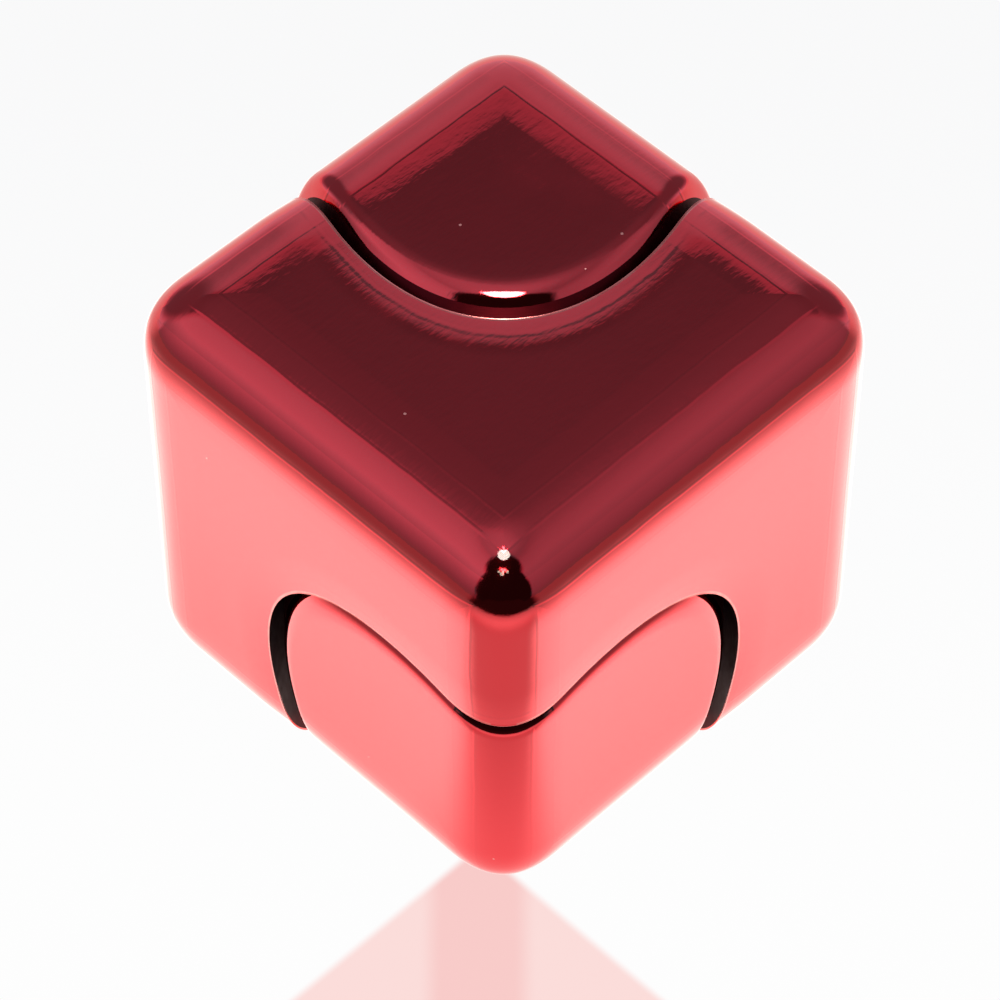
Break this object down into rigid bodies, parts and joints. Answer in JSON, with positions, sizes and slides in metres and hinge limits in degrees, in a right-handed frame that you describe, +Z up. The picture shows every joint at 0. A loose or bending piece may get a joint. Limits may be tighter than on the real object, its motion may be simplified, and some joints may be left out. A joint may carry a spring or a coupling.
{
  "type": "fidget cube",
  "caption": "Rounded metal cube cut along its diagonal into a spinning body and two corner caps held on a ball bearing.",
  "frame": {"origin": "middle of the spinner body's bottom face, on the surface that the cube stands on", "axes": "+Z up; +X and -Y are the two upright faces that meet at the lower cap's corner; the spin axis runs along the space diagonal from the corner (+X, -Y, bottom) to the corner (-X, +Y, top)"},
  "size_m": [0.0252, 0.0252, 0.0252],
  "materials": {
    "red_chrome": "polished",
    "bearing_steel": "gloss",
    "ball_steel": "polished",
    "shield_steel": "satin",
    "spring_steel": "satin",
    "axle_steel": "satin",
    "washer_brass": "satin",
    "cage_nylon": "matte"
  },
  "bodies": {
    "spinner": {"spinner_body": "red_chrome", "bearing_outer_race": "bearing_steel", "bearing_shield_upper": "shield_steel", "bearing_shield_lower": "shield_steel", "shield_clip_upper": "spring_steel", "shield_clip_lower": "spring_steel", "bearing_retaining_ring": "spring_steel"},
    "grip": {"upper_corner_cap": "red_chrome", "lower_corner_cap": "red_chrome", "axle_stud": "axle_steel", "axle_sleeve": "axle_steel", "spacer_washer_upper": "washer_brass", "spacer_washer_lower": "washer_brass", "bearing_inner_race": "bearing_steel"},
    "balls": {"ball_cage": "cage_nylon", "bearing_ball_1": "ball_steel", "bearing_ball_2": "ball_steel", "bearing_ball_3": "ball_steel", "bearing_ball_4": "ball_steel", "bearing_ball_5": "ball_steel", "bearing_ball_6": "ball_steel", "bearing_ball_7": "ball_steel", "bearing_ball_8": "ball_steel", "bearing_ball_9": "ball_steel", "bearing_ball_10": "ball_steel"}
  },
  "joints": [
    {"name": "spin", "type": "hinge", "parent": "spinner", "child": "grip", "pos_m": [0, 0, 0.0125], "axis": [-0.5774, 0.5774, 0.5774], "continuous": true},
    {"name": "cage_spin", "type": "hinge", "parent": "spinner", "child": "balls", "pos_m": [0, 0, 0.0125], "axis": [-0.5774, 0.5774, 0.5774], "continuous": true}
  ],
  "couplings": [
    {"joint": "cage_spin", "follows": "spin", "ratio": 0.4167}
  ]
}
